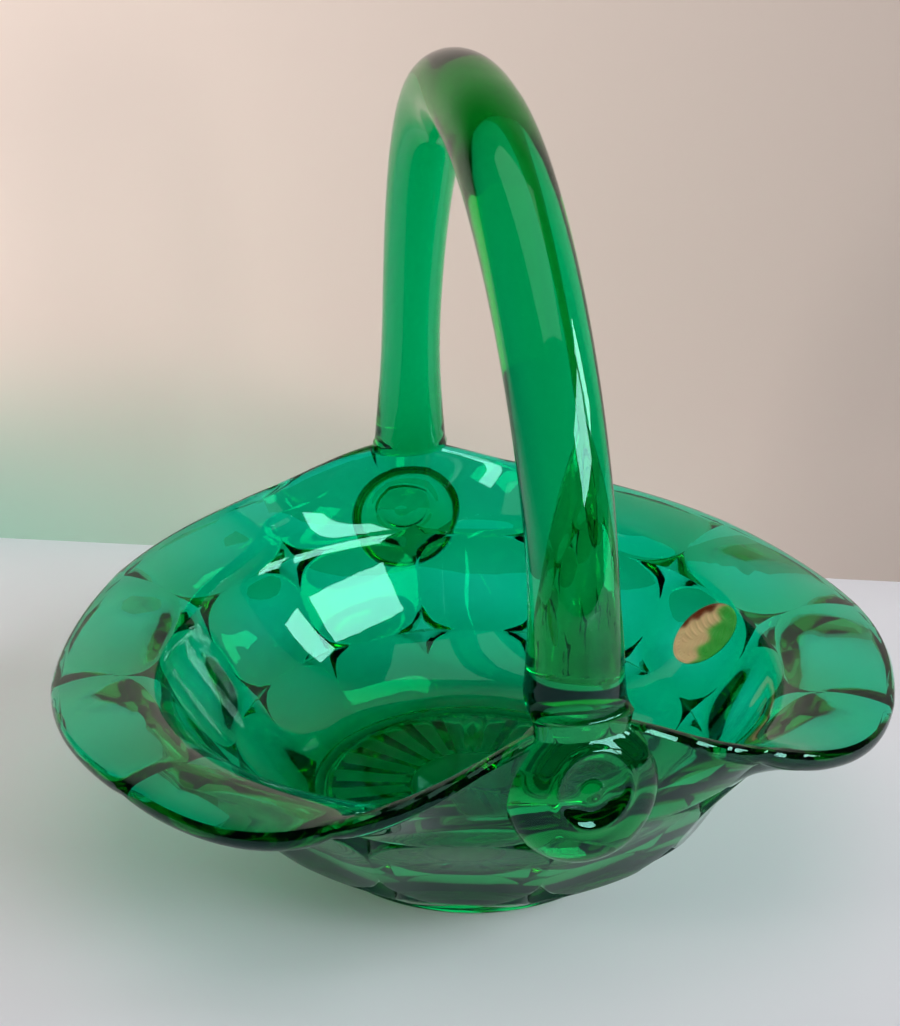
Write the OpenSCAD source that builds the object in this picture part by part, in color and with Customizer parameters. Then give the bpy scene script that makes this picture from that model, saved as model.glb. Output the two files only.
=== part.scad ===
// Pressed glass basket: a heavy bowl of twelve columns of pressed panels, its rim pulled up at two sides and
// opened out at the other two, a hot-applied rod handle stamped onto the outside wall, and a foil seal inside.
// Millimetres. +Z is up, the foot stands on z = 0, the handle's arch lies near the YZ plane.

/* [Foot and floor] */
// outer radius of the round foot
foot_r = 50.8; // [47:0.2:52]
// height of the foot's plain band below the panels
foot_h = 2.4; // [1.6:0.1:3]
// width of the ring the foot stands on
foot_w = 5; // [3.5:0.5:7]
// depth of the recess under the base
recess = 4.5; // [3:0.5:6]
// depth of the rays pressed into the recess
ray_depth = 1.6; // [0.8:0.1:2.2]
// number of rays
rays = 24; // [12:12:24]
// half width of a ray at its outer end
ray_w = 4.4; // [3:0.2:5]
// height of the flat floor inside
floor_z = 17; // [14:0.5:18]
// radius of the flat floor inside
floor_r = 47.5; // [44:0.5:49]

/* [Pressed wall] */
// radius of the lower ring of stars, at the panel corners
ring1_r = 76; // [73:0.5:79]
// height of the lower ring of stars
ring1_z = 24.6; // [22:0.2:27]
// radius of the upper ring of stars
ring2_r = 94.3; // [91:0.5:97]
// height of the upper ring of stars
ring2_z = 53.2; // [50:0.2:56]
// how much wider the upper ring is across the lobes
ring2_oval = 2.4; // [0:0.1:4]
// rise of the bowl's wall towards the far handle end, per mm
lean = 0.043; // [0:0.001:0.06]
// wall thickness at a panel's corner lines, before the hollows
wall_t = 7.6; // [7:0.1:9]
// thickness of the fire-polished rim
rim_t = 6.2; // [5:0.1:6.8]

/* [Panels and stars] */
// turn of the panel lines from the handle's plane
pattern_turn = -3.7; // [-8:0.1:0]
// squareness of a panel's dish, 2 for an oval
panel_power = 3.1; // [2.6:0.1:4]
// rise per mm of the sides of the star hollow where four panels meet
star_slope = 0.58; // [0.4:0.02:0.62]
// how flat a panel's base is across, 1 for a true flat
panel_flat = 0.25; // [0:0.05:1]
// depth of a foot panel's dish at its lower end
dish1_low = 0.9; // [0.3:0.1:1.5]
// depth of a foot panel's dish at its upper end
dish1_high = 1.3; // [0.3:0.1:1.8]
// depth of a middle panel's dish at its lower end
dish2_low = 1.6; // [0.6:0.1:2.4]
// depth of a middle panel's dish at its upper end
dish2_high = 1.1; // [0.4:0.1:1.8]
// depth of a petal's dish at its lower end
dish3_low = 2.8; // [1:0.1:3]
// depth of a petal's dish at the rim
dish3_high = 0.4; // [0:0.1:0.8]
// depth of the groove between petals at the rim
petal_groove = 1.2; // [0.4:0.1:1.6]

/* [Rim] */
// mean radius of the rim
rim_r = 113.5; // [110:0.5:117]
// opening of the two lobes
rim_oval = 14.9; // [12:0.1:17]
// squareness of the lobes in plan
rim_square = 4.5; // [2:0.1:6]
// sharpness of the turn at the lobe's ends
rim_turn = 2.3; // [0:0.1:3]
// shift of the rim towards the wider lobe
rim_shift = 1.8; // [0:0.1:4]
// mean height of the rim
rim_z = 67.1; // [64:0.1:70]
// lift of the rim at the handle ends and drop at the lobes
rim_lift = 14.4; // [11:0.1:17]
// second lift, which keeps the lobes level
rim_level = 4.2; // [2:0.1:6]
// extra lift of the rim beside the far handle end
rim_far = 3.5; // [0:0.5:5]
// pull that blunts the lobes' tips
rim_blunt = 4; // [0:0.5:6]
// sag of the rim on the near side of both lobes
rim_sag = 4.6; // [0:0.2:6]

/* [Handle] */
// half the span between the handle's legs
arch_w = 85; // [82:0.5:87]
// height at which the legs stand upright
arch_z = 85; // [83:0.5:88]
// rise of the arch above that height
arch_h = 125; // [115:1:135]
// roundness of the arch, 2 for an ellipse
arch_power = 2.125; // [2:0.025:2.4]
// skew of the arch towards the far end
arch_skew = 16.6; // [10:0.2:20]
// half width of the rod at the top
rod_top = 11.8; // [10:0.1:13]
// half width of the rod's near leg
rod_near = 10.6; // [9.5:0.1:12]
// half width of the rod's far leg
rod_far = 9; // [8:0.1:10.5]
// half thickness of the rod
rod_b = 10.6; // [9:0.1:11.5]
// widening of the near leg towards the rim
flare_near = 1.8; // [0:0.1:3]
// widening of the far leg towards the rim
flare_far = 3.4; // [0:0.1:4]
// sideways shift of the arch at its middle
arch_x = 1.9; // [0:0.1:4]
// sideways lean of the arch per mm towards the far end
arch_turn = 0.023; // [0:0.001:0.03]
// height at which the near leg's lip ends
near_lip = 85; // [83:0.5:87]
// height at which the far leg's lip ends
far_lip = 91.3; // [89:0.5:93]
// how far the lip rounds in under the leg
lip_run = 12; // [10:0.5:13]
// height of that rounding
lip_rise = 5; // [3:0.5:7]
// half width of the leg at the lip
lip_half = 12.6; // [11.5:0.1:13.5]

/* [Stamped ends] */
// radius of the stamped face
seal_r = 15.5; // [13:0.5:17]
// radius of the gob behind the face
seal_base = 19.6; // [18:0.2:21]
// radius of the face's raised ring
ring_r = 9.4; // [8:0.2:10]
// radius of the small boss in the face's middle
boss_r = 3; // [2:0.2:4]
// how far the face stands out of the gob's base
seal_t = 9; // [8:0.5:10]
// height of the near stamped face's centre
near_z = 68; // [65:0.5:71]
// height of the far stamped face's centre
far_z = 66; // [63:0.5:70]
// distance of the near face's centre from the bowl's axis
near_y = 99.5; // [98:0.5:102]
// distance of the far face's centre from the bowl's axis
far_y = 102; // [100:0.5:103]
// upward tilt of the near face
near_tilt = 13; // [5:1:18]
// upward tilt of the far face
far_tilt = 4; // [0:1:10]

/* [Foil seal] */
// length of the oval seal
label_l = 27; // [22:0.5:30]
// width of the oval seal
label_w = 18.5; // [14:0.5:20]
// thickness of the seal
label_t = 0.35; // [0.25:0.05:0.6]
// angle of the seal's centre round the bowl
label_a = 7.4; // [5:0.1:9]
// place of the seal's centre up the inner wall, 0 at the floor and 1 at the upper ring of stars
label_up = 0.835; // [0.78:0.005:0.86]
// turn of the seal's long side from level
label_turn = 52; // [30:1:70]

/* [Hidden] */
columns = 12;
sector = 360 / columns;
// places of the mesh lines across a panel, from one corner line to the next
cuts = [0, 0.05, 0.13, 0.27, 0.5, 0.73, 0.87, 0.95];
// half the height of a panel, which its slopes are measured on
panel_half = 18;
// share of the wall's lean that the rim keeps, and where the petals bend over
rim_lean = 0.82;
petal_bend = 0.38;
// how far the inner curve runs out and rises before it turns up into the wall
curve_run = 22;
curve_rise = 4.6;
nc = len(cuts);
na = columns * nc;

// angle of mesh line i and its place across the panel, -1 to 1
function ang(i) = 90 + pattern_turn + sector * (floor(i / nc) + cuts[i % nc]);
function across(i) = 2 * cuts[i % nc] - 1;

function unit(v) = v / norm(v);
function mix(p, q, t) = p * (1 - t) + q * t;
function bez(p, c, q, t) = p * (1 - t) * (1 - t) + c * 2 * t * (1 - t) + q * t * t;
function slope(p, c, q, t) = unit((c - p) * (1 - t) + (q - c) * t);
// outward side of a profile running up in the (radius, height) plane
function side(d) = [d[1], -d[0]];

// the four rings of the outer profile at angle a, as [radius, height]
function foot_p(a) = [foot_r + 1.2, foot_h];
function ring1_p(a) = [ring1_r, ring1_z + lean * ring1_r * sin(a)];
function ring2_p(a) = [ring2_r + ring2_oval * cos(2 * a), ring2_z + lean * ring2_r * sin(a) - cos(2 * a)];
function rim_p(a) = [
    rim_r + rim_shift * cos(a) + rim_oval * cos(2 * a) - rim_square * cos(4 * a) + rim_turn * cos(6 * a)
        - rim_blunt * pow(cos(a), 6),
    rim_z + lean * rim_r * rim_lean * sin(a) + rim_far * pow(max(0, sin(a)), 6)
        - rim_lift * cos(2 * a) + rim_level * cos(4 * a) - rim_turn * cos(6 * a)
        - (sin(a) < 0 ? rim_sag * pow(sin(2 * a), 2) : 0)
];
// the petals leave the upper ring in the panels' own direction and bend over to the rim
function petal_c(a) = ring2_p(a) + unit(ring2_p(a) - ring1_p(a)) * norm(rim_p(a) - ring2_p(a)) * petal_bend;
function petal_end(a) = rim_p(a) - unit(rim_p(a) - petal_c(a)) * rim_t / 2;

// a panel's middle is drawn in towards the chord between its corner lines
function chord(x, f) = 1 - f * (1 - cos(sector / 2) / cos(sector / 2 * x));
// Depth of the mould's shape at x, y of a panel. Inside a rounded square it is a dish, depth d in the middle and
// zero at the outline. Outside it the star hollow deepens evenly with the distance from the outline.
function outline(x, y) = pow(pow(abs(x), panel_power) + pow(abs(y), panel_power), 1 / panel_power);
function hollow(x, y, d) = let (r = outline(x, y))
    r < 1 ? d * (1 - r * r * r) : star_slope * panel_half * norm([x, y]) * (1 - 1 / r);

// point p of the profile at angle a, moved in by d along the side direction n
function place(p, n, d, a, c) = let (q = p - n * d) [q[0] * c * cos(a), q[0] * c * sin(a), q[1]];

// outer wall: tier k, place y up the tier from -1 to 1
function tier1(i, y) = let (a = ang(i), x = across(i), p = foot_p(a), q = ring1_p(a), t = (y + 1) / 2,
        d = hollow(x, max(y, 0), dish1_low + (dish1_high - dish1_low) * t))
    place(mix(p, q, t), side(unit(q - p)), d, a, chord(x, panel_flat * min(1, 2 * t)));
function tier2(i, y) = let (a = ang(i), x = across(i), p = ring1_p(a), q = ring2_p(a), t = (y + 1) / 2,
        d = hollow(x, y, dish2_low + (dish2_high - dish2_low) * t))
    place(mix(p, q, t), side(unit(q - p)), d, a, chord(x, panel_flat));
function tier3(i, y) = let (a = ang(i), x = across(i), p = ring2_p(a), c = petal_c(a), q = petal_end(a),
        t = (y + 1) / 2, d = hollow(x, min(y, 0), dish3_low + (dish3_high - dish3_low) * t),
        g = petal_groove * pow(abs(x), 6))
    place(bez(p, c, q, t), side(slope(p, c, q, t)), max(d, g), a, chord(x, panel_flat * (1 - t) * (1 - t)));
// rounded rim: turn w from the outer side, 0, over the edge to the inner side, 180
function edge(i, w) = let (a = ang(i), x = across(i), d = slope(ring2_p(a), petal_c(a), petal_end(a), 1),
        g = petal_groove * pow(abs(x), 6) * (1 + cos(w)) / 2)
    place(petal_end(a) - side(d) * rim_t / 2 + (side(d) * cos(w) + d * sin(w)) * rim_t / 2, side(d), g, a, 1);
// inner side: offset from the petals, then one curve down to the floor
function inner3(i, t) = let (a = ang(i), p = ring2_p(a), c = petal_c(a), q = petal_end(a))
    place(bez(p, c, q, t), side(slope(p, c, q, t)), wall_t + (rim_t - wall_t) * t, a, 1);
function inner_foot(a) = [floor_r, floor_z];
function inner_top(a) = ring2_p(a) - side(unit(ring2_p(a) - ring1_p(a))) * wall_t;
function inner_c(a) = [floor_r + curve_run, floor_z + curve_rise + lean * floor_r * sin(a)];
function inner2(i, t) = let (a = ang(i)) place(bez(inner_foot(a), inner_c(a), inner_top(a), t), [0, 0], 0, a, 1);
function ring(i, r, z) = [r * cos(ang(i)), r * sin(ang(i)), z];

// places of the mesh rows up each tier, round the rim's edge, and down the inside
ys1 = [-1, -0.2, 0.46, 0.74, 0.9];
ys2 = [-1, -0.9, -0.74, -0.46, 0, 0.46, 0.74, 0.9];
ys3 = [-1, -0.9, -0.74, -0.46, 0, 0.5, 1];
edge_turns = [35, 90, 145];
in3 = [1, 0.75, 0.5, 0.25];
in2 = [1, 0.85, 0.7, 0.54, 0.38, 0.22, 0.1, 0];
rows = concat(
    [[for (i = [0:na - 1]) ring(i, foot_r - foot_w - 1.6, recess)]],
    [[for (i = [0:na - 1]) ring(i, foot_r - foot_w, 0.6)]],
    [[for (i = [0:na - 1]) ring(i, foot_r - foot_w + 0.8, 0)]],
    [[for (i = [0:na - 1]) ring(i, foot_r - 0.8, 0)]],
    [[for (i = [0:na - 1]) ring(i, foot_r, 0.7)]],
    [[for (i = [0:na - 1]) ring(i, foot_r, foot_h - 0.2)]],
    [for (y = ys1) [for (i = [0:na - 1]) tier1(i, y)]],
    [for (y = ys2) [for (i = [0:na - 1]) tier2(i, y)]],
    [for (y = ys3) [for (i = [0:na - 1]) tier3(i, y)]],
    [for (w = edge_turns) [for (i = [0:na - 1]) edge(i, w)]],
    [for (t = in3) [for (i = [0:na - 1]) inner3(i, t)]],
    [for (t = in2) [for (i = [0:na - 1]) inner2(i, t)]]
);
nr = len(rows);
inner_last = nr - 1;
shell_pts = concat([for (row = rows) each row], [[0, 0, recess], [0, 0, floor_z]]);
shell_faces = concat(
    [for (j = [0:nr - 2], i = [0:na - 1]) each let (k = (i + 1) % na, s = j * na, u = s + na)
        [[s + i, u + i, u + k], [s + i, u + k, s + k]]],
    [for (i = [0:na - 1]) [nr * na, i, (i + 1) % na]],
    [for (i = [0:na - 1]) [nr * na + 1, inner_last * na + (i + 1) % na, inner_last * na + i]]
);

// centre line of the arch, half width and direction at turn t from -90 at the near leg to 90 at the far leg
function arch_at(t) = let (s = sin(t), y = arch_w * sign(s) * pow(abs(s), 2 / arch_power))
    [arch_x + arch_turn * y, y, arch_z + arch_h * pow(abs(cos(t)), 2 / arch_power) + arch_skew * sin(2 * t)];
function arch_half(t) = let (s = sin(t), leg = s < 0 ? rod_near : rod_far)
    leg + (rod_top - leg) * (1 - s * s) + (s < 0 ? flare_near : flare_far) * pow(abs(s), 60);
function arch_dir(t) = unit(arch_at(t + 1) - arch_at(t - 1));
span_n = 32;
sides = 18;
function loop(p, d, a, b) = let (n = unit(cross([1, 0, 0], d)))
    [for (k = [0:sides - 1]) p + [1, 0, 0] * a * cos(360 / sides * k) + n * b * sin(360 / sides * k)];
function turn_at(i) = let (u = -1 + 2 * i / span_n) 90 * sign(u) * (1 - pow(1 - abs(u), 1.35));
// the arch ends just above the two lips
function arch_foot(t) = (t < 0 ? near_lip : far_lip) + lip_rise + 0.8;
arch_sections = [for (i = [1:span_n - 1]) let (t = turn_at(i))
    if (arch_at(t)[2] > arch_foot(t)) [arch_at(t), arch_dir(t), arch_half(t), rod_b]];

// Below the arch a leg rounds in under its inner side by a quarter ellipse, the lip, and a flatter neck runs on
// down the outside to the stamped end. Sections lie level. g is 1 at the far end and -1 at the near one.
lip_turns = [0, 30, 55, 75, 90];
neck_places = [0.15, 0.5, 1];
lip_spread = 2;
neck_in = 2;
neck_out = 1.6;
neck_half = 0.9;
// the neck ends inside the gob, a little above its middle
neck_end = 3;
function lip_section(g, w, lip) = let (i = arch_w - rod_b + lip_run * (1 - cos(w)),
        o = arch_w + rod_b + lip_spread * (1 - cos(w)))
    leg_section(g, i, o, lip + lip_rise * (1 - sin(w)), lip_half);
function neck_section(g, t, lip, end) = let (i = arch_w - rod_b + lip_run + neck_in * (1 - pow(1 - t, 3)),
        o = arch_w + rod_b + lip_spread + neck_out * sin(150 * t))
    leg_section(g, i, o, lip + (end + neck_end - lip) * t, lip_half + neck_half);
function leg_section(g, i, o, z, a) =
    [[arch_x + arch_turn * g * arch_w, g * (i + o) / 2, z], [0, 0, -g], a, (o - i) / 2];
function end_sections(g, lip, end) = concat(
    [for (w = lip_turns) lip_section(g, w, lip)],
    [for (t = neck_places) neck_section(g, t, lip, end)]
);
near_end = end_sections(-1, near_lip, near_z);
far_end = end_sections(1, far_lip, far_z);

// the whole handle is one rod through oval sections, given as [centre, direction, half width, half thickness]
rod_sections = concat([for (i = [len(near_end) - 1:-1:0]) near_end[i]], arch_sections, far_end);
module rod() {
    n = len(rod_sections);
    pts = [for (s = rod_sections) each loop(s[0], s[1], s[2], s[3])];
    polyhedron(points = pts, faces = concat(
        [[for (k = [sides - 1:-1:0]) k], [for (k = [0:sides - 1]) (n - 1) * sides + k]],
        [for (j = [0:n - 2], k = [0:sides - 1]) each let (s = j * sides, m = (k + 1) % sides)
            [[s + k, s + m, s + sides + m], [s + k, s + sides + m, s + sides + k]]]), convexity = 6);
}

// stamped gob: a blunt round cushion with a dished face, a raised ring and a small boss
module stamped_end(g, y, z, tilt) {
    translate([arch_x + arch_turn * g * arch_w, g * y, z])
        rotate([g * (90 - tilt) * -1, 0, 0])
            translate([0, 0, -seal_t])
                difference() {
                    union() {
                        cylinder(h = seal_t * 0.55, r = seal_base, $fn = 36);
                        translate([0, 0, seal_t * 0.55])
                            cylinder(h = seal_t * 0.45, r1 = seal_base, r2 = seal_r, $fn = 36);
                    }
                    translate([0, 0, seal_t - 1])
                        rotate_extrude($fn = 36)
                            polygon([[boss_r, 1.2], [boss_r, 0], [ring_r - 1.4, 0.3], [ring_r - 0.6, 1.2]]);
                    translate([0, 0, seal_t - 0.8])
                        rotate_extrude($fn = 36)
                            polygon([[ring_r + 0.6, 1.2], [ring_r + 0.8, 0], [seal_r - 2.3, 0.3], [seal_r - 1.9, 1.2]]);
                }
}

module bowl_shell() {
    polyhedron(points = shell_pts, faces = shell_faces, convexity = 12);
}

// one ray: a long three-cornered groove in the recess, open towards the table
ray_in = 7.6;
ray_out = foot_r - foot_w - 2.8;
ray_tip = 0.7;
module ray() {
    low = recess - 1;
    hull() polyhedron(
        points = [
            [ray_in + 0.4, 0, recess + ray_depth / 2], [ray_out - 2, 0, recess + ray_depth],
            [ray_in, -ray_tip, low], [ray_out, -ray_w, low], [ray_out, ray_w, low], [ray_in, ray_tip, low]
        ],
        faces = [[0, 1, 3, 2], [0, 5, 4, 1], [0, 2, 5], [1, 4, 3], [2, 3, 4, 5]]
    );
}

module basket() {
    color([0.05, 0.6, 0.36, 0.5])
    difference() {
        union() {
            bowl_shell();
            rod();
            stamped_end(-1, near_y, near_z, near_tilt);
            stamped_end(1, far_y, far_z, far_tilt);
        }
        for (k = [0:rays - 1]) rotate([0, 0, k * 360 / rays]) ray();
        translate([0, 0, recess - 1]) cylinder(h = 1.8, r1 = ray_in - 0.4, r2 = ray_in - 1.6, $fn = 36);
    }
}

// the seal follows the inner wall: a curved slab on the wall's own mesh lines, cut to an oval
label_i0 = floor((label_a + 360 - 90 - pattern_turn) / sector) * nc - nc;
label_ts = [1, 0.85, 0.7, 0.54];
function lift_in(i, t, d) = let (a = ang(i), s = slope(inner_foot(a), inner_c(a), inner_top(a), t))
    place(bez(inner_foot(a), inner_c(a), inner_top(a), t), side(s), d, a, 1);
module seal_slab() {
    n = 3 * nc;
    m = len(label_ts);
    lower = [for (t = label_ts, i = [0:n]) lift_in(label_i0 + i, t, 0)];
    upper = [for (t = label_ts, i = [0:n]) lift_in(label_i0 + i, t, label_t)];
    h = m * (n + 1);
    polyhedron(points = concat(lower, upper), faces = concat(
        [for (j = [0:m - 2], i = [0:n - 1]) each let (s = j * (n + 1) + i, u = s + n + 1)
            [[s, s + 1, u + 1], [s, u + 1, u], [h + s, h + u + 1, h + s + 1], [h + s, h + u, h + u + 1]]],
        [for (i = [0:n - 1]) each [[i, h + i + 1, i + 1], [i, h + i, h + i + 1]]],
        [for (i = [0:n - 1]) each let (s = (m - 1) * (n + 1) + i) [[s, s + 1, h + s + 1], [s, h + s + 1, h + s]]],
        [for (j = [0:m - 2]) each let (s = j * (n + 1), u = s + n + 1) [[s, u, h + u], [s, h + u, h + s]]],
        [for (j = [0:m - 2]) each let (s = j * (n + 1) + n, u = s + n + 1) [[s, h + u, u], [s, h + s, h + u]]]
    ), convexity = 6);
}

// the oval that cuts the slab stands square to the wall at the seal's centre
label_c = bez(inner_foot(label_a), inner_c(label_a), inner_top(label_a), label_up);
label_d = slope(inner_foot(label_a), inner_c(label_a), inner_top(label_a), label_up);
label_sides = 32;
module foil_label() {
    color([0.85, 0.7, 0.3])
    intersection() {
        seal_slab();
        rotate([0, 0, label_a])
            translate([label_c[0], 0, label_c[1]])
                rotate([0, -atan2(label_d[1], label_d[0]), 0])
                    rotate([0, 0, label_turn])
                        linear_extrude(height = label_l, center = true)
                            scale([label_w / label_l, 1]) circle(d = label_l, $fn = label_sides);
    }
}

basket();
foil_label();
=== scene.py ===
"""Pressed green glass basket on a pale table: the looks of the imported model, in metres, +Z up.

Sizes are written in millimetres and turned to metres as each surface goes into its mesh. A profile of the bowl
is a complex number: its real part is the distance from the axis and its imaginary part is the height.
"""

import bpy
import numpy as np
from mathutils import Matrix, Vector


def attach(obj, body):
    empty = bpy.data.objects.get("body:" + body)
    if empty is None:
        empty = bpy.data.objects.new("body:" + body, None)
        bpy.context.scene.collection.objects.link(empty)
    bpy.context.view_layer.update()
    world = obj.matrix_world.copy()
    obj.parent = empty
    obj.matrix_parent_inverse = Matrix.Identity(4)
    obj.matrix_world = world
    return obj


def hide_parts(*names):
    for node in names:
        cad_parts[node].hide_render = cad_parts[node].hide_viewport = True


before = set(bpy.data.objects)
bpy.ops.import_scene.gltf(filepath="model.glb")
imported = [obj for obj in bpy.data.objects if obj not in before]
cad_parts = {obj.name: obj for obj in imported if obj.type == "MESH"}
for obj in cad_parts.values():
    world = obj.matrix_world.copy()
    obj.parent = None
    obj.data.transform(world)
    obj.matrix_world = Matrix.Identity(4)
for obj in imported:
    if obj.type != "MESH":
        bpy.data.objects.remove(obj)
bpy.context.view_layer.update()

MM = 0.001

# Foot and floor. The recess under the foot has a small ring, then rays, then a ring at the rays' outer ends.
FOOT_R = 50.8
FOOT_H = 2.4
FOOT_W = 5.0
FOOT_STEP = 1.2
RECESS = 4.5
RAYS = 24
RAY_DEPTH = 1.6
RAYS_FROM = 19.0
RAYS_TO = 43.0
SMALL_RING = 18.2
END_RING = 43.1
FLOOR_Z = 17.0
FLOOR_R = 47.5
# How far the inner profile's control point lies outside the flat floor and above it
CURVE_RUN = 22.0
CURVE_RISE = 4.6

# Pressed wall: the two rings of stars, how much they lean towards the far handle end, and the glass's thickness
RING1_R = 76.0
RING1_Z = 24.6
RING2_R = 94.3
RING2_Z = 53.2
RING2_OVAL = 2.4
LEAN = 0.043
WALL_T = 9.4
RIM_T = 6.2

# Rim: its mean radius and height and the sizes of the waves that pull it into shape
RIM_R = 113.5
RIM_OVAL = 14.9
RIM_SQUARE = 4.5
RIM_TURN = 2.3
RIM_SHIFT = 1.8
RIM_Z = 67.1
RIM_LIFT = 14.4
RIM_LEVEL = 4.2
RIM_LEAN = 0.82
RIM_FAR = 3.5
RIM_BLUNT = 4.0
RIM_SAG = 4.6

# Panels and stars. The panels' faces lie nearly flat between their corners.
COLUMNS = 12
SECTOR = 360 / COLUMNS
PATTERN_TURN = -3.7
PANEL_HALF = 18.0
PANEL_FLAT = 0.25
PANEL_CORNER = 0.75
PANEL_INSET = 0.006
STAR_SLOPE = 1.3
# Width of a star's arm, as a share of a panel's half, below which it grows shallow and runs out
STAR_ARM = 0.07
# Share of the ramp into a star at which it reaches the panel's boundary, still sloping
STAR_BREAK = 0.84
STAR_DEEPEST = 4.4
PETAL_GROOVE = 1.6
PETAL_BEND = 0.38
# Depth of a panel's dish at its lower and at its upper end in the middle of a lobe, tier by tier from the foot
DISH = [(1.2, 1.4), (3.8, 2.6), (5.0, 0.8)]
# Share of that depth that is left beside the handle, where the glass was drawn out less
DISH_LEAST = 0.35

# Handle: the arch's half width, foot height, rise, roundness and skew, its place and turn, and the rod's half
# widths at the top and at the legs, its half thickness and the legs' flare
ARCH_W = 85.0
ARCH_Z = 85.0
ARCH_H = 125.0
ARCH_POWER = 2.125
ARCH_SKEW = 16.6
ARCH_X = 1.9
ARCH_TURN = 0.023
ROD_TOP = 11.8
ROD_NEAR = 10.6
ROD_FAR = 9.0
ROD_B = 10.6
FLARE_NEAR = 1.8
FLARE_FAR = 3.4
# Lip where a leg ends over the rim, and the neck from there down to the stamped end
LIP_RUN = 12.0
LIP_RISE = 5.0
LIP_OUT = 1.0
LIP_HALF = 12.6
NECK_IN = 0.5
NECK_OUT = 1.6
NECK_HALF = 1.5
NECK_RUN = 14.0

# Stamped ends: the ring on the face, the cushion's radius, thickness and back, then each end's side of the bowl, face
# centre, tilt and height of the leg's lip
RING_R = 9.4
STAMP_R = 19.6
STAMP_T = 9.0
STAMP_BACK = -2.5
NEAR_END = {"side": -1, "y": 99.5, "z": 68.0, "tilt": 13.0, "lip": 85.0}
FAR_END = {"side": 1, "y": 102.0, "z": 66.0, "tilt": 4.0, "lip": 91.3}

# Foil seal: length, width, thickness, place round the bowl and up the inner wall, and turn
LABEL_L = 27.0
LABEL_W = 18.5
LABEL_T = 0.35
LABEL_A = 7.4
LABEL_UP = 0.835
LABEL_TURN = 52.0


def cos(a):
    """Cosine of an angle in degrees."""
    return np.cos(np.radians(a))


def sin(a):
    """Sine of an angle in degrees."""
    return np.sin(np.radians(a))


def unit(p):
    """A profile direction of length one."""
    return p / np.abs(p)


def side(d):
    """The outward side of a profile that runs up along d."""
    return -1j * d


def bend(p, c, q, t):
    """A curve from p to q that leaves and arrives along its lines to c."""
    return p * (1 - t) ** 2 + 2 * c * t * (1 - t) + q * t**2


def along(p, c, q, t):
    """The direction of that curve at t."""
    return unit((c - p) * (1 - t) + (q - c) * t)


def foot_ring(a):
    """The line where the panels start, a step outside the foot."""
    return FOOT_R + FOOT_STEP + 1j * FOOT_H + 0 * a


def ring1(a):
    """The lower ring of stars, a circle that leans by a share of sin a."""
    return RING1_R + 1j * (RING1_Z + LEAN * RING1_R * sin(a))


def ring2(a):
    """The upper ring of stars, an oval with waves of cos 2a that leans like the lower one."""
    return RING2_R + RING2_OVAL * cos(2 * a) + 1j * (RING2_Z + LEAN * RING2_R * sin(a) - cos(2 * a))


def rim(a):
    """Distance from the axis: mean + shift cos a + oval cos 2a - square cos 4a + turn cos 6a, less a sixth power
    of cos a that blunts the lobes' tips. The height has the same waves, so that the rim is lifted at the handle
    ends and drops level at the lobes, plus a sixth power of sin a beside the far handle end, less a sag of
    sin squared 2a on the near side of both lobes."""
    r = RIM_R + RIM_SHIFT * cos(a) + RIM_OVAL * cos(2 * a) - RIM_SQUARE * cos(4 * a) + RIM_TURN * cos(6 * a)
    z = (RIM_Z + LEAN * RIM_R * RIM_LEAN * sin(a) - RIM_LIFT * cos(2 * a) + RIM_LEVEL * cos(4 * a)
         - RIM_TURN * cos(6 * a))
    sag = np.where(sin(a) < 0, RIM_SAG * sin(2 * a) ** 2, 0)
    return r - RIM_BLUNT * cos(a) ** 6 + 1j * (z + RIM_FAR * np.maximum(0, sin(a)) ** 6 - sag)


def petal(a):
    """Ends and control point of the petals' profile: they leave the upper ring in the panels' own direction and bend
    over to the rim, half a thickness inside its edge."""
    p = ring2(a)
    c = p + unit(p - ring1(a)) * np.abs(rim(a) - p) * PETAL_BEND
    q = rim(a) - unit(rim(a) - c) * RIM_T / 2
    return p, c, q


def chord(x, flat):
    """A panel's middle is drawn in from the round towards the straight line between its corner lines."""
    return 1 - flat * (1 - cos(SECTOR / 2) / cos(SECTOR / 2 * x))


def revolve(p, a, scale=1.0):
    """Points at angle a round the axis for profile numbers p."""
    r = p.real * scale
    return np.stack([r * cos(a), r * sin(a), p.imag + 0 * a], axis=-1)


def ease(t, c=0.16):
    """A straight ramp from 0 to 1 with both ends rounded over the share c."""
    low = t**2 / (2 * c)
    high = (1 - c) - (1 - t) ** 2 / (2 * c)
    return np.where(t < c, low, np.where(t > 1 - c, high, t - c / 2)) / (1 - c)


# Places of the panel's grid lines: shares of the way from its middle to the dish's outline, and from there to the
# panel's boundary
DISH_LINES = [0, 0.28, 0.5, 0.66, 0.78, 0.87, 0.94, 0.98, 1]
STAR_LINES = [0, 0.12, 0.45, 0.8, 0.94, 1]


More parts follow.
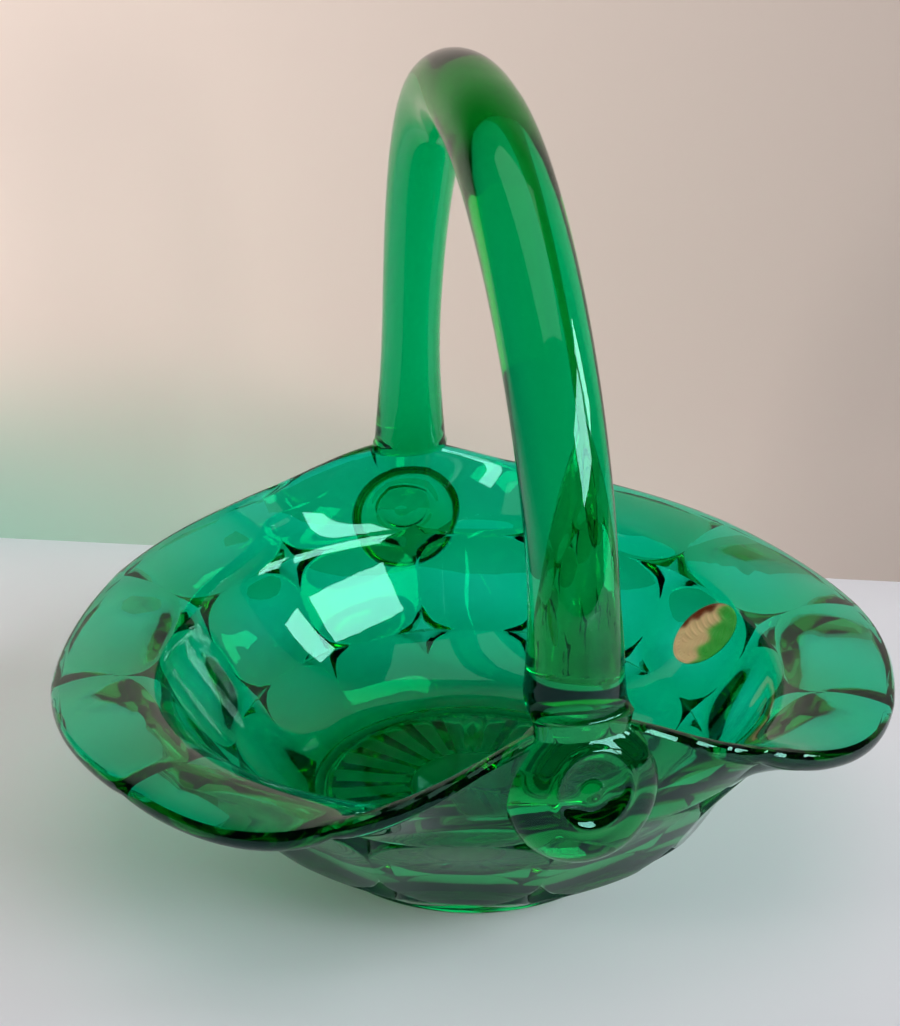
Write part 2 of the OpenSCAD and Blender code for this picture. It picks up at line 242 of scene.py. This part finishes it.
def panel_grid(dish, open_end):
    """Place x, y (-1 to 1) of each grid point of one pressed panel, and the depths of its dish and its star hollows.

    Lines run in rings. Inside a square with round corners lies a shallow dish of depth D (1 - r^2)^2, where r is the
    share of the way to the outline and D changes evenly from the lower end to the upper one. Outside it lies the
    star hollow, which deepens evenly to the panel's boundary and is steep only where it is wide, so that a star has
    four arms that run out along the boundaries. The half towards an open end, 1 for the top and -1 for the bottom,
    has straight sides that run out there.
    """
    low, high = dish
    n_in, n_star = len(DISH_LINES), len(STAR_LINES) - 1
    half = np.arange(n_in + n_star)
    line = np.concatenate([-half[:0:-1], half]).astype(float)
    u, v = np.meshgrid(line, line)
    is_open = v * open_end > 0
    ring_v = np.where(is_open, 0, v)
    ring = np.maximum(np.abs(u), np.abs(ring_v)).astype(int)
    safe = np.maximum(ring, 1)
    du, dv = u / safe, ring_v / safe
    outline = np.where(ring > 0, (1 - PANEL_INSET) * round_square(np.minimum(np.abs(du), np.abs(dv))), 0)
    grid_y = line_places()[np.abs(v).astype(int)] * np.sign(v)

    dish_share = np.array(DISH_LINES + [1] * n_star)[ring]
    star_share = np.array([0] * n_in + STAR_LINES[1:])[ring]
    reach = outline * dish_share + (1 - outline) * star_share
    x = du * reach
    y = dv * reach
    y = np.where(is_open, grid_y, y)
    slope = STAR_SLOPE * np.clip((1 - outline) / STAR_ARM, 0, 1)
    ramp = ease(star_share * STAR_BREAK) / ease(np.array(STAR_BREAK))
    star = slope * PANEL_HALF * np.hypot(du, dv) * (1 - outline) * ramp
    hollow = (low + (high - low) * (y + 1) / 2) * (1 - dish_share**2) ** 2
    return x, y, hollow, STAR_DEEPEST * np.tanh(star / STAR_DEEPEST)


def round_square(b):
    """How far towards the point (1, b) of a square of half size 1 its outline lies, with corners rounded by an arc
    about the point (c, c): the greater root k of (k - c)^2 + (k b - c)^2 = (1 - c)^2."""
    c = 1 - PANEL_CORNER
    root = np.sqrt(np.maximum(0, (c * (1 + b)) ** 2 - (1 + b**2) * (2 * c**2 - (1 - c) ** 2)))
    return np.where(b > c, (c * (1 + b) + root) / (1 + b**2), 1)


def line_places():
    """Even places from a panel's middle, 0, to its boundary, 1."""
    return np.linspace(0, 1, len(DISH_LINES) + len(STAR_LINES) - 1)


def boundary_lines():
    """Places across a panel, -1 to 1, of the grid lines where they cross its boundary."""
    half = line_places()
    return np.concatenate([-half[:0:-1], half])


def tier(k, x, y, depth, a):
    """Points of tier k (1, 2 or 3) at place x, y of a panel, sunk by depth along the wall's side."""
    t = (y + 1) / 2
    if k == 3:
        p, c, q = petal(a)
        out = side(along(p, c, q, t))
        middle = bend(p, c, q, t)
        flat = PANEL_FLAT * (1 - t) ** 2
    else:
        p, q = (foot_ring(a), ring1(a)) if k == 1 else (ring1(a), ring2(a))
        out = side(unit(q - p))
        middle = p * (1 - t) + q * t
        flat = PANEL_FLAT * (np.minimum(1, 2 * t) if k == 1 else 1)
    return revolve(middle - out * depth, a, chord(x, flat))


def around(grid):
    """Repeats a panel's grid, whose last column is the next one's first, round the bowl."""
    return np.concatenate([g[:, :-1] for g in grid], axis=1)


def outer_wall():
    """The three tiers of panels from the foot to the rim, as rows of points. The dishes are deepest in the middle of
    the lobes and change by cos squared of their angle, and the upper tier has grooves of x^6 between its petals."""
    rows = []
    for k in (1, 2, 3):
        x, y, dish, star = panel_grid(DISH[k - 1], k - 2)
        groove = PETAL_GROOVE * np.abs(x) ** 6 * np.clip(y + 0.2, 0, 1) if k == 3 else 0
        sectors = []
        for n in range(COLUMNS):
            middle = 90 + PATTERN_TURN + SECTOR * (n + 0.5)
            share = DISH_LEAST + (1 - DISH_LEAST) * cos(middle) ** 2
            depth = np.maximum(dish * share + star, groove)
            sectors.append(tier(k, x, y, depth, middle + SECTOR * x / 2))
        wall = around(sectors)
        rows.append(wall if k == 3 else wall[:-1])
    return np.concatenate(rows)


def column_angles():
    """Angle and place across its panel of every mesh column at a panel boundary."""
    x = boundary_lines()[:-1]
    a = np.concatenate([90 + PATTERN_TURN + SECTOR * (n + (x + 1) / 2) for n in range(COLUMNS)])
    return a, np.tile(x, COLUMNS)


def rim_edge(a, x):
    """The fire-polished edge: a half circle of the rim's thickness, grooved a little between the petals."""
    p, c, q = petal(a)
    d = along(p, c, q, 1)
    rows = []
    for w in (20, 42, 64, 86, 108, 130, 152):
        groove = PETAL_GROOVE * np.abs(x) ** 6 * (1 + cos(w)) / 2
        edge = q - side(d) * RIM_T / 2 + (side(d) * cos(w) + d * sin(w)) * RIM_T / 2 - side(d) * groove
        rows.append(revolve(edge, a))
    return np.array(rows)


def inner_wall(a):
    """Smooth inside: level with the petals at first, then one curve down to the flat floor."""
    rows = []
    p, c, q = petal(a)
    for t in np.linspace(1, 0, 15)[:-1]:
        thick = WALL_T + (RIM_T - WALL_T) * t
        rows.append(revolve(bend(p, c, q, t) - side(along(p, c, q, t)) * thick, a))
    foot, turn, top = inner_curve(a)
    for t in np.linspace(1, 0, 31):
        rows.append(revolve(bend(foot, turn, top, t), a))
    return np.array(rows)


def inner_curve(a):
    """Ends and control point of the inner profile from the floor to the upper ring of stars."""
    foot = FLOOR_R + 1j * FLOOR_Z + 0 * a
    top = ring2(a) - side(unit(ring2(a) - ring1(a))) * WALL_T
    turn = FLOOR_R + CURVE_RUN + 1j * (FLOOR_Z + CURVE_RISE + LEAN * FLOOR_R * sin(a))
    return foot, turn, top


def floor_rows(a):
    """The flat floor inside, in rings towards the middle."""
    return np.array([revolve(r + 1j * FLOOR_Z + 0 * a, a) for r in (44, 36, 27, 18, 9)])


def base_rows(a):
    """The recess under the foot: pressed rays, each a tent across, between two raised rings, then the foot's standing
    ring."""
    even = a[0] + np.arange(len(a)) * 360 / len(a)
    tent = 1 - np.abs((np.arange(len(a)) * 2 * RAYS / len(a)) % 2 - 1)
    rows = []
    for r in (6, 12, 16, 18.2, 19, 20.5, 24, 28, 32, 36, 40, 42, 43, 44.2):
        share = np.clip((r - RAYS_FROM) / 1.5, 0, 1) * np.clip(RAYS_TO - r, 0, 1)
        ring = 0.7 * np.exp(-(((r - SMALL_RING) / 0.7) ** 2)) + 1.4 * np.exp(-(((r - END_RING) / 0.6) ** 2))
        rows.append(revolve(r + 1j * (RECESS + ring + RAY_DEPTH * share * tent), even))
    stand = [(FOOT_W + 1.4, RECESS), (FOOT_W + 0.8, RECESS * 0.55), (FOOT_W, 0.8), (FOOT_W - 0.4, 0.25),
             (FOOT_W - 1, 0), (1.2, 0), (0.5, 0.2), (0.1, 0.7), (0, 1.3), (0, FOOT_H - 0.3)]
    for n, (inset, z) in enumerate(stand):
        share = (n + 1) / len(stand)
        rows.append(revolve(FOOT_R - inset + 1j * z + 0 * a, even * (1 - share) + a * share))
    return np.array(rows)


def bowl_mesh():
    """The bowl as one closed net: base, foot, outer wall, rim, inner wall and floor, with a pole at each end."""
    a, x = column_angles()
    rows = np.concatenate([base_rows(a), outer_wall(), rim_edge(a, x), inner_wall(a), floor_rows(a)])
    return closed_net(rows, np.array([0, 0, RECESS]), np.array([0, 0, FLOOR_Z]))


def closed_net(rows, first, last):
    """Vertices and faces of rings of points, closed by a fan to the point first and one to the point last."""
    n_rows, n_cols = rows.shape[:2]
    points = np.concatenate([rows.reshape(-1, 3), [first], [last]])
    j, i = np.meshgrid(np.arange(n_rows - 1), np.arange(n_cols), indexing="ij")
    k = (i + 1) % n_cols
    quads = np.stack([j * n_cols + i, j * n_cols + k, (j + 1) * n_cols + k, (j + 1) * n_cols + i], axis=-1)
    i = np.arange(n_cols)
    k = (i + 1) % n_cols
    top = (n_rows - 1) * n_cols
    start = np.stack([np.full(n_cols, n_rows * n_cols), k, i], axis=-1)
    end = np.stack([np.full(n_cols, n_rows * n_cols + 1), top + i, top + k], axis=-1)
    return points, quads.reshape(-1, 4).tolist() + start.tolist() + end.tolist()


def arch_centre(t):
    """Centre line at turn t, -90 at the near leg to 90 at the far one: a superellipse with a skew of sin 2t."""
    y = ARCH_W * np.sign(sin(t)) * np.abs(sin(t)) ** (2 / ARCH_POWER)
    z = ARCH_Z + ARCH_H * np.abs(cos(t)) ** (2 / ARCH_POWER) + ARCH_SKEW * sin(2 * t)
    return np.stack([ARCH_X + ARCH_TURN * y, y, z], axis=-1)


def leg_end(end):
    """Sections of a leg below the arch: a lip that rounds in under it by a quarter ellipse to the rim's level, then a
    neck that draws in a little on its way down the outside to the middle of the stamped end. Sections lie level."""
    turn = np.linspace(0, 90, 12)
    inner = ARCH_W - ROD_B + LIP_RUN * (1 - cos(turn))
    outer = ARCH_W + ROD_B + LIP_OUT * (1 - cos(turn))
    z = end["lip"] + LIP_RISE * (1 - sin(turn))
    down = np.linspace(0, 1, 10)[1:]
    inner = np.concatenate([inner, inner[-1] + NECK_IN * (1 - (1 - down) ** 3)])
    outer = np.concatenate([outer, outer[-1] - NECK_OUT * (1 - (1 - down) ** 2)])
    z = np.concatenate([z, end["lip"] + (end["z"] + 3 - end["lip"]) * down])
    wide = LIP_HALF - NECK_HALF * np.clip((end["lip"] - z) / NECK_RUN, 0, 1)
    g = end["side"]
    centre = np.stack([ARCH_X + ARCH_TURN * g * ARCH_W + 0 * z, g * (inner + outer) / 2, z], axis=-1)
    return centre, wide, (outer - inner) / 2


def rod_path():
    """Centre, direction, half width and half thickness of each section of the handle, from the near end to the far
    one."""
    u = np.linspace(-1, 1, 181)
    t = 90 * np.sign(u) * (1 - (1 - np.abs(u)) ** 1.35)
    centre = arch_centre(t)
    above = np.where(t < 0, NEAR_END["lip"], FAR_END["lip"]) + LIP_RISE + 0.8
    t, centre = t[centre[:, 2] > above], centre[centre[:, 2] > above]
    step = np.gradient(centre, axis=0)
    leg = np.where(t < 0, ROD_NEAR, ROD_FAR)
    wide = leg + (ROD_TOP - leg) * (1 - sin(t) ** 2) + np.where(t < 0, FLARE_NEAR, FLARE_FAR) * np.abs(sin(t)) ** 60
    thick = np.full_like(wide, ROD_B)
    near, far = leg_end(NEAR_END), leg_end(FAR_END)
    level = np.array([0.0, 0.0, 1.0])
    step = np.concatenate([near[0] * 0 + level, step, far[0] * 0 - level])
    centre = np.concatenate([near[0][::-1], centre, far[0]])
    wide = np.concatenate([near[1][::-1], wide, far[1]])
    thick = np.concatenate([near[2][::-1], thick, far[2]])
    return centre, step / np.linalg.norm(step, axis=1)[:, None], wide, thick


def rod_mesh():
    """Oval sections along the handle, closed at both ends."""
    centre, step, wide, thick = rod_path()
    normal = np.cross([1.0, 0, 0], step)
    normal /= np.linalg.norm(normal, axis=1)[:, None]
    turn = np.arange(64) * 360 / 64
    rows = (centre[:, None, :] + np.array([1.0, 0, 0]) * (wide[:, None] * cos(turn))[..., None]
            + normal[:, None, :] * (thick[:, None] * sin(turn))[..., None])
    return closed_net(rows[:, ::-1], centre[0], centre[-1])


def stamped_mesh(end):
    """A round cushion of glass, height h (1 - (r/R)^3)^0.4. Its face carries a hollow, a raised ring that wavers like
    the stamp's swirl, and a small boss."""
    back = np.array([(8, STAMP_BACK), (STAMP_R - 1.5, -2), (STAMP_R - 0.3, -0.6)])
    share = sin(np.linspace(90, 1.7, 60))
    turn = np.arange(96) * 360 / 96
    radius, spin = np.meshgrid(share * STAMP_R, turn, indexing="ij")
    height = STAMP_T * (1 - (share[:, None] * 0.9999) ** 3) ** 0.4 + 0 * spin
    ring = RING_R + 0.9 * sin(spin + 40) + 0.35 * sin(2 * spin)
    height -= 0.8 * np.exp(-((radius / 6.5) ** 4))
    height += 0.7 * np.exp(-(((radius - ring) / 1.3) ** 2)) + 0.8 * np.exp(-((radius / 2.4) ** 2))
    radius = np.concatenate([back[:, :1] + 0 * turn, radius])
    height = np.concatenate([back[:, 1:] + 0 * turn, height])
    rows = np.stack([radius * cos(turn), radius * sin(turn), height], axis=-1)
    points, faces = closed_net(rows, np.array([0, 0, STAMP_BACK]), np.array([0, 0, height[-1].mean() + 0.01]))
    g = end["side"]
    lift = -g * (90 - end["tilt"])
    points = points - [0, 0, STAMP_T]
    y = points[:, 1] * cos(lift) - points[:, 2] * sin(lift)
    z = points[:, 1] * sin(lift) + points[:, 2] * cos(lift)
    centre = np.array([ARCH_X + ARCH_TURN * g * ARCH_W, g * end["y"], end["z"]])
    return np.stack([points[:, 0], y, z], axis=-1) + centre, faces


def new_object(name, points, faces):
    """A smooth mesh object at the origin from points in millimetres."""
    mesh = bpy.data.meshes.new(name)
    mesh.from_pydata((points * MM).tolist(), [], faces)
    mesh.validate()
    mesh.shade_smooth()
    obj = bpy.data.objects.new(name, mesh)
    bpy.context.scene.collection.objects.link(obj)
    return obj


def joined(base, others, name):
    """One closed solid of base and the others, as the hot glass runs together."""
    for other in others:
        cut = base.modifiers.new("fuse", "BOOLEAN")
        cut.operation = "UNION"
        cut.solver = "MANIFOLD"
        cut.object = other
    done = base.evaluated_get(bpy.context.evaluated_depsgraph_get())
    mesh = bpy.data.meshes.new_from_object(done)
    for old in [base, *others]:
        bpy.data.objects.remove(old)
    mesh.name = name
    obj = bpy.data.objects.new(name, mesh)
    bpy.context.scene.collection.objects.link(obj)
    return obj


def linear(code, alpha=1.0):
    """An sRGB hex colour as linear red, green, blue and alpha."""
    srgb = np.array([int(code[i:i + 2], 16) for i in (0, 2, 4)]) / 255
    low, high = srgb / 12.92, ((srgb + 0.055) / 1.055) ** 2.4
    return (*np.where(srgb <= 0.04045, low, high), alpha)


def add(tree, kind, settings=None, **inputs):
    """Adds a node of that kind, with its settings and with each input set to a value or linked to a socket."""
    node = tree.nodes.new(kind)
    for key, value in (settings or {}).items():
        setattr(node, key, value)
    for key, value in inputs.items():
        socket = node.inputs[int(key[1:]) if key[1:].isdigit() else key.replace("_", " ")]
        if isinstance(value, bpy.types.NodeSocket):
            tree.links.new(value, socket)
        else:
            socket.default_value = value
    return node


def fade(tree, value, start, end):
    """1 up to start, then smoothly down to 0 at end."""
    ramp = add(tree, "ShaderNodeMapRange", {"interpolation_type": "SMOOTHSTEP"}, Value=value, _1=start, _2=end,
               _3=1.0, _4=0.0)
    return ramp.outputs[0]


def new_material(name):
    """An empty node material and its output node."""
    material = bpy.data.materials.new(name)
    material.use_nodes = True
    material.node_tree.nodes.clear()
    output = material.node_tree.nodes.new("ShaderNodeOutputMaterial")
    return material, material.node_tree, output


def emerald_glass():
    """Soda-lime glass coloured through with chromium and copper, pressed and fire-polished: clear, with a green
    that deepens with the length of the light's way, and a skin with faint waves from the mould."""
    material, tree, output = new_material("emerald_pressed_glass")
    place = add(tree, "ShaderNodeTexCoord").outputs["Object"]
    # the mould's faint waves are about 14 mm long
    waves = add(tree, "ShaderNodeTexNoise", Vector=place, Scale=70.0, Detail=1.0)
    bump = add(tree, "ShaderNodeBump", Height=waves.outputs["Fac"], Strength=0.12, Distance=0.0006)
    # painted shade: the bowl's skin is tinted darker than its thickness gives, for the basket's own green shadow on the
    # table and wall that shows through it; the handle's skin is clear
    height = add(tree, "ShaderNodeSeparateXYZ", Vector=place).outputs["Z"]
    tint = add(tree, "ShaderNodeMix", {"data_type": "RGBA"}, _0=fade(tree, height, 0.08, 0.125), _6=(1, 1, 1, 1),
               _7=(0.75, 0.72, 0.55, 1))
    skin = add(tree, "ShaderNodeBsdfPrincipled", Base_Color=tint.outputs[2], Roughness=0.0, IOR=1.5,
               Specular_Tint=(0.35, 1, 0.85, 1), Transmission_Weight=1.0, Normal=bump.outputs["Normal"])
    # what is lost per metre of glass: 900 of red, 26 of green, 78 of blue
    colour = add(tree, "ShaderNodeVolumeAbsorption", Color=(0.0323, 0.972, 0.9161, 1), Density=930.0)
    tree.links.new(skin.outputs[0], output.inputs["Surface"])
    tree.links.new(colour.outputs[0], output.inputs["Volume"])
    return material


def glass_basket():
    """The bowl, the handle and its two stamped ends as one piece of glass."""
    bowl = new_object("bowl", *bowl_mesh())
    rod = new_object("rod", *rod_mesh())
    ends = [new_object("end", *stamped_mesh(end)) for end in (NEAR_END, FAR_END)]
    basket = joined(bowl, [rod, *ends], "glass_basket")
    basket.data.set_sharp_from_angle(angle=np.radians(24))
    basket.data.materials.clear()
    basket.data.materials.append(emerald_glass())
    return basket


def seal_mesh():
    """The oval seal as a closed sheet on the inner wall, with its relief, and each point's colour.

    The oval's own coordinates are turned, then laid on the wall: one runs along the wall's profile by its length,
    the other runs round the bowl. The relief is a border, beads just inside it, and two rows of leaves that curve
    away from a stem, each the positive part of a cosine wave, over long low creases. Green lacquer covers the side
    towards the rim, past a wavy line; a band along the other edge is painted dark red-brown, the painted shade of a
    fold.
    """
    share, turn = np.meshgrid(np.linspace(1, 0.02, 70), np.arange(240) * 360 / 240, indexing="ij")
    wide, high = LABEL_W / 2 * share * cos(turn), LABEL_L / 2 * share * sin(turn)
    border = np.exp(-(((share - 0.93) / 0.03) ** 2))
    beads = np.exp(-(((share - 0.83) / 0.035) ** 2)) * np.maximum(0, cos(turn * 40))
    leaves = np.maximum(0, np.cos(2.6 * (high + 0.09 * wide**2 - np.abs(wide)))) * (share < 0.74) * (np.abs(wide) > 0.6)
    relief = 0.08 * border + 0.08 * beads + 0.14 * leaves * np.minimum(1, np.abs(wide) / 2.5)
    relief += 0.10 * np.sin(0.9 * wide + 0.5 * high) + 0.07 * np.sin(0.7 * high - 1.1 * wide + 1.0)
    rows = [laid_on_wall(wide, high, 0.02), laid_on_wall(wide, high, LABEL_T + relief * (share < 0.999))]
    rows = np.concatenate([rows[0][::-1], rows[1]])
    centre = [laid_on_wall(np.zeros(1), np.zeros(1), lift)[0] for lift in (0.02, LABEL_T)]
    lacquer = soft_step(-0.75 * wide - 0.65 * high - 1.5 + 1.3 * np.sin(0.8 * wide - 0.5 * high), 1.6)[..., None]
    # painted shade: a dark red-brown band along one edge, coloured red below, where a fold of the foil faces the dark
    # room
    copper = soft_step(wide - 6.6 + 0.5 * np.sin(1.1 * high), 3.0)[..., None]
    gold, green, red = (np.array(linear(code)) for code in ("FFDDAA", "48C850", "7A3018"))
    colour = (gold * (1 - lacquer) + green * lacquer) * (1 - copper) + red * copper
    colour = np.concatenate([colour[::-1].reshape(-1, 4), colour.reshape(-1, 4), colour[-1, :2]])
    return (*closed_net(rows, *centre), colour)


def soft_step(x, sharpness):
    """From 0 to 1 as x passes 0."""
    return 1 / (1 + np.exp(-x * sharpness))


def laid_on_wall(wide, high, lift):
    """Points on the inner wall for the seal's own coordinates, lifted off it, all in millimetres."""
    up = wide * cos(LABEL_TURN) - high * sin(LABEL_TURN)
    around_by = wide * sin(LABEL_TURN) + high * cos(LABEL_TURN)
    share = np.linspace(0.4, 1.2, 401)
    profile = inner_point(LABEL_A, share)[0]
    way = np.concatenate([[0], np.cumsum(np.abs(np.diff(profile)))])
    way -= np.interp(LABEL_UP, share, way)
    radius = inner_point(LABEL_A, LABEL_UP)[0].real
    a = LABEL_A + np.degrees(around_by / radius)
    point, out = inner_point(a, np.interp(up, way, share))
    return revolve(point - out * lift, a)


def inner_point(a, t):
    """Profile point and outward side of the inner wall at share t of its way up."""
    curve = inner_curve(a)
    return bend(*curve, t), side(along(*curve, t))


def seal_foil():
    """Embossed gold foil with clear green lacquer over one side, glued to the glass: a soft sheen with rounded
    glints, since the lacquer lies over the metal."""
    material, tree, output = new_material("gold_foil_with_green_lacquer")
    # the attribute holds the printed colours and a painted shade of a fold along one edge
    colour = add(tree, "ShaderNodeAttribute", {"attribute_name": "print_and_painted_shade"}).outputs["Color"]
    foil = add(tree, "ShaderNodeBsdfPrincipled", Base_Color=colour, Metallic=0.05, Roughness=0.3)
    tree.links.new(foil.outputs[0], output.inputs["Surface"])
    return material


def foil_seal():
    """The seal with its printed colours and a painted shade along one edge, as one colour attribute named for both."""
    points, faces, colour = seal_mesh()
    seal = new_object("foil_seal", points, faces)
    seal.data.attributes.new("print_and_painted_shade", "FLOAT_COLOR", "POINT").data.foreach_set("color", colour.ravel())
    seal.data.materials.append(seal_foil())
    return seal


for piece, slot, node in ((glass_basket(), "green_glass", "basket"), (foil_seal(), "foil", "foil_label")):
    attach(piece, "root")
    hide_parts(node)


# Camera, in metres, degrees and pixels, as the photograph was taken
CAMERA_AT = (-0.1131, -0.3730, 0.2530)
CAMERA_YAW = 15.91
CAMERA_PITCH = 24.42
CAMERA_ROLL = -0.16
PICTURE = (900, 1026)
FOCAL_PX = 1463.96
CENTRE_PX = (449.07, 595.17)
SENSOR = 36.0


def place_camera():
    """The camera looks along its yaw and down by its pitch. Its shift puts the lens's axis where it was."""
    data = bpy.data.cameras.new("camera")
    data.sensor_width = SENSOR
    data.lens = FOCAL_PX * SENSOR / max(PICTURE)
    data.shift_x = (PICTURE[0] / 2 - CENTRE_PX[0]) / max(PICTURE)
    data.shift_y = (CENTRE_PX[1] - PICTURE[1] / 2) / max(PICTURE)
    data.clip_start, data.clip_end = 0.01, 20
    camera = bpy.data.objects.new("camera", data)
    turn = Matrix.Rotation(np.radians(-CAMERA_YAW), 4, "Z")
    nod = Matrix.Rotation(np.radians(90 - CAMERA_PITCH), 4, "X")
    roll = Matrix.Rotation(np.radians(CAMERA_ROLL), 4, "Z")
    camera.matrix_world = Matrix.Translation(CAMERA_AT) @ turn @ nod @ roll
    bpy.context.scene.collection.objects.link(camera)
    bpy.context.scene.camera = camera


# Stage: a table and, behind it, a wall along the line from WALL_A to WALL_B
WALL_A = np.array([-0.6, 0.4821])
WALL_B = np.array([0.55, -0.0170])
WALL_HEIGHT = 1.9
TABLE_REACH = 2.0
TABLE_DROP = 0.0003


def table_paint():
    """Matt white paint on the table top."""
    material, tree, output = new_material("painted_table")
    paint = add(tree, "ShaderNodeBsdfPrincipled", Base_Color=linear("DCE1EB"), Roughness=0.5)
    tree.links.new(paint.outputs[0], output.inputs["Surface"])
    return material


def wall_paint():
    """Warm white paint, painted darker upwards and to the right as painted shade that blends it into the dark room.
    Low on the left lies a painted green shadow of the glass. Seen from behind, the wall isn't there."""
    material, tree, output = new_material("painted_wall")
    place = add(tree, "ShaderNodeTexCoord").outputs["Object"]
    axes = add(tree, "ShaderNodeSeparateXYZ", Vector=place)
    # painted shade: upwards and to the right the paint is mixed to near black, for the room's light that falls off
    light = add(tree, "ShaderNodeMath", {"operation": "MULTIPLY"}, _0=fade(tree, axes.outputs["Z"], 0.25, 0.9),
                _1=fade(tree, axes.outputs["X"], -0.15, 0.75))
    # painted shadow: the lowest part on the left is painted green, for the green shadow that the glass casts on the
    # wall
    green = add(tree, "ShaderNodeMath", {"operation": "MULTIPLY"}, _0=fade(tree, axes.outputs["Z"], 0.0, 0.11),
                _1=fade(tree, axes.outputs["X"], -0.2, 0.2))
    low = add(tree, "ShaderNodeMix", {"data_type": "RGBA"}, _0=green.outputs[0], _6=linear("E2D4CC"),
              _7=linear("A4CDBC"))
    # painted shade: the paint goes to near black where that mask falls
    tint = add(tree, "ShaderNodeMix", {"data_type": "RGBA"}, _0=light.outputs[0], _6=linear("101010"),
               _7=low.outputs[2])
    paint = add(tree, "ShaderNodeBsdfPrincipled", Base_Color=tint.outputs[2], Roughness=0.8)
    back = add(tree, "ShaderNodeNewGeometry").outputs["Backfacing"]
    clear = add(tree, "ShaderNodeBsdfTransparent").outputs[0]
    shader = add(tree, "ShaderNodeMixShader", _0=back, _1=paint.outputs[0], _2=clear)
    tree.links.new(shader.outputs[0], output.inputs["Surface"])
    return material


def stage_plane(name, corners, material):
    """A flat four-cornered piece of the stage."""
    mesh = bpy.data.meshes.new(name)
    mesh.from_pydata(corners, [], [(0, 1, 2, 3)])
    obj = bpy.data.objects.new(name, mesh)
    obj.data.materials.append(material)
    bpy.context.scene.collection.objects.link(obj)
    return obj


def build_stage():
    """The table, a hair below the foot so that the two don't share a plane, and the wall that stands on it."""
    drop, reach = -TABLE_DROP, TABLE_REACH
    table = [(-reach, -reach, drop), (reach, -reach, drop), (reach, reach, drop), (-reach, reach, drop)]
    stage_plane("table_top", table, table_paint())
    wall = [(*WALL_A, drop), (*WALL_B, drop), (*WALL_B, WALL_HEIGHT), (*WALL_A, WALL_HEIGHT)]
    stage_plane("back_wall", wall, wall_paint())


def area_light(name, at, to, size, power, colour="FFFFFF"):
    """A flat lamp at one place that faces another."""
    data = bpy.data.lights.new(name, "AREA")
    data.shape = "RECTANGLE"
    data.size, data.size_y = size
    data.energy = power
    data.color = linear(colour)[:3]
    obj = bpy.data.objects.new(name, data)
    obj.location = at
    obj.rotation_mode = "QUATERNION"
    obj.rotation_quaternion = (Vector(at) - Vector(to)).to_track_quat("Z", "Y")
    bpy.context.scene.collection.objects.link(obj)
    return obj


def build_lights():
    """A dark room with a window of two panes behind the camera on the right, low soft light from the same side, a dim
    ceiling and a warm lamp that brightens the wall on the left. The low light and the lamp don't show as glints."""
    world = bpy.data.worlds.new("room")
    world.use_nodes = True
    tree = world.node_tree
    tree.nodes["Background"].inputs["Color"].default_value = linear("D8DCE0")
    tree.nodes["Background"].inputs["Strength"].default_value = 0.03
    bpy.context.scene.world = world
    area_light("window_main", toward(140, 31, 3.0), (0, 0, 0.05), (1.75, 0.85), 62)
    area_light("window_side", toward(110, 31, 3.0), (0, 0, 0.05), (0.5, 0.85), 18)
    area_light("room_right", toward(156, 9, 1.5), (0, 0, 0.1), (0.5, 0.3), 7, "FFF0E6").visible_glossy = False
    area_light("ceiling", (0.1, -0.5, 2.0), (0.1, -0.5, 0), (1.6, 1.6), 14.0, "E8D8CE")
    lamp = area_light("lamp_left", (-0.9, -0.1, 0.34), (-0.25, 0.33, 0.24), (0.2, 0.2), 1.25, "FFF2EA")
    lamp.visible_glossy = False
    lamp.data.spread = np.radians(90)


def toward(azimuth, height, distance):
    """A place seen from the foot at an azimuth, clockwise from +Y, and a height in degrees."""
    flat = distance * cos(height)
    return (flat * sin(azimuth), flat * cos(azimuth), distance * sin(height))


place_camera()
build_stage()
build_lights()

scene = bpy.context.scene
scene.view_settings.view_transform = "Standard"
# light passes up to a dozen glass surfaces before it leaves the bowl and the handle
scene.cycles.max_bounces = 28
scene.cycles.transmission_bounces = 28
scene.cycles.glossy_bounces = 12
